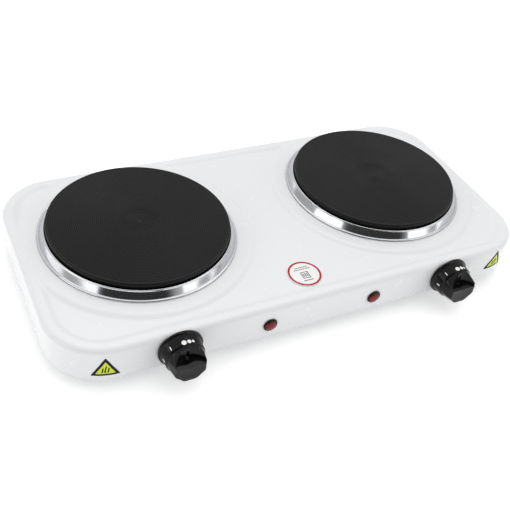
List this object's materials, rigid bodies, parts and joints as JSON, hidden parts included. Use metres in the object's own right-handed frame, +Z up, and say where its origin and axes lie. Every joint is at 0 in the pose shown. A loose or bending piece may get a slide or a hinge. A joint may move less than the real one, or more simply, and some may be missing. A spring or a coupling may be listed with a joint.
{
  "type": "electric hot plate",
  "caption": "Table-top electric hot plate: low rounded body, round cast-iron plates in bright spill rings, front knobs and pilot lamps.",
  "frame": {"origin": "on the floor, under the centre of the whole object's box, with the feet on the floor", "axes": "+X to the right as seen from the front, +Y to the rear, +Z up"},
  "size_m": [0.445, 0.2434, 0.0562],
  "materials": {
    "white_enamel": "glossy baked enamel",
    "galvanised_steel": "zinc coated sheet",
    "cast_iron": "turned and blacked, matt",
    "bright_stainless": "polished stainless",
    "zinc_screw": "zinc plated",
    "black_phenolic": "moulded, glossy",
    "black_rubber": "matt",
    "red_lens": "clear red, moulded",
    "magnesia": "fired insulating compound",
    "steatite": "unglazed ceramic",
    "brass": "turned",
    "wire_sleeve": "braided glass sleeve",
    "earth_sleeve": "braided glass sleeve",
    "label_paper": "coated paper",
    "label_yellow": "coated paper",
    "label_silver": "satin foil"
  },
  "bodies": {
    "housing": {"bottom_plate": "galvanised_steel", "ceramic_block_left": "steatite", "ceramic_block_right": "steatite", "cord_bush": "black_rubber", "corner_bracket_front_left": "galvanised_steel", "corner_bracket_front_right": "galvanised_steel", "corner_bracket_rear_left": "galvanised_steel", "corner_bracket_rear_right": "galvanised_steel", "earth_lead": "earth_sleeve", "earth_stud": "brass", "foot_front_left": "black_rubber", "foot_front_right": "black_rubber", "foot_rear_left": "black_rubber", "foot_rear_right": "black_rubber", "foot_screw_front_left": "zinc_screw", "foot_screw_front_right": "zinc_screw", "foot_screw_rear_left": "zinc_screw", "foot_screw_rear_right": "zinc_screw", "heat_shield_left": "galvanised_steel", "heat_shield_right": "galvanised_steel", "heating_element_left": "magnesia", "heating_element_right": "magnesia", "hot_label_left": "label_yellow", "hot_label_right": "label_yellow", "hotplate_left": "cast_iron", "hotplate_right": "cast_iron", "lamp_bezel_left": "black_phenolic", "lamp_bezel_right": "black_phenolic", "lamp_lead_left": "wire_sleeve", "lamp_lead_right": "wire_sleeve", "lamp_lens_left": "red_lens", "lamp_lens_right": "red_lens", "live_lead_left": "wire_sleeve", "live_lead_right": "wire_sleeve", "load_lead_left": "wire_sleeve", "load_lead_right": "wire_sleeve", "neutral_lead_left": "wire_sleeve", "neutral_lead_right": "wire_sleeve", "plate_stud_left": "zinc_screw", "plate_stud_right": "zinc_screw", "rating_plate": "label_silver", "round_label": "label_paper", "stud_nut_left": "zinc_screw", "stud_nut_right": "zinc_screw", "terminal_block": "steatite", "thermostat_left": "steatite", "thermostat_right": "steatite", "thermostat_screw_left_inner": "zinc_screw", "thermostat_screw_left_outer": "zinc_screw", "thermostat_screw_right_inner": "zinc_screw", "thermostat_screw_right_outer": "zinc_screw", "top_shell": "white_enamel", "trim_ring_left": "bright_stainless", "trim_ring_right": "bright_stainless"},
    "knob_left": {"knob_left": "black_phenolic", "knob_shaft_left": "zinc_screw"},
    "knob_right": {"knob_right": "black_phenolic", "knob_shaft_right": "zinc_screw"}
  },
  "joints": [
    {"name": "knob_left_turn", "type": "hinge", "parent": "housing", "child": "knob_left", "pos_m": [-0.1283, -0.09775, 0.0284], "axis": [0, 1, 0], "range_deg": [0, 225]},
    {"name": "knob_right_turn", "type": "hinge", "parent": "housing", "child": "knob_right", "pos_m": [0.1283, -0.09775, 0.0284], "axis": [0, 1, 0], "range_deg": [0, 225]}
  ]
}
